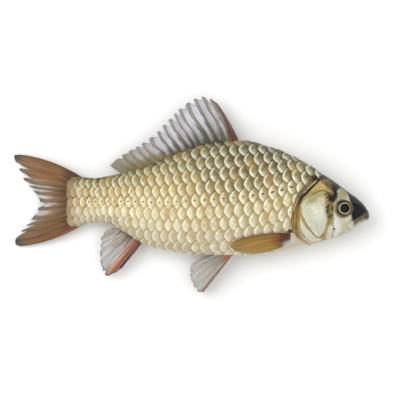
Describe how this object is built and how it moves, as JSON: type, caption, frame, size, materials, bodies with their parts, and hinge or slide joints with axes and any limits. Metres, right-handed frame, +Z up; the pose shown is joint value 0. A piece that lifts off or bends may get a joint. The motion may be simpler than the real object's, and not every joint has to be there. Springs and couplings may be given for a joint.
{
  "type": "whole raw fish",
  "caption": "A whole raw carp with its scales, head, fins and tail on, lying on its left side with the right flank up",
  "frame": {"origin": "on the surface that the fish lies on, inside the flat patch of its lower flank, 102 mm behind the snout and level with the middle of the flank", "axes": "+X to the snout, +Y to the back, +Z up through the flanks, so the right flank faces up"},
  "size_m": [0.2501, 0.1377, 0.0362],
  "materials": {
    "skin": "wet scaled skin, olive above and cream below",
    "eye": "wet, clear, dark pupil in a pale ring"
  },
  "bodies": {
    "root": {"fish": "skin", "eye_right": "eye", "eye_left": "eye"}
  },
  "joints": []
}
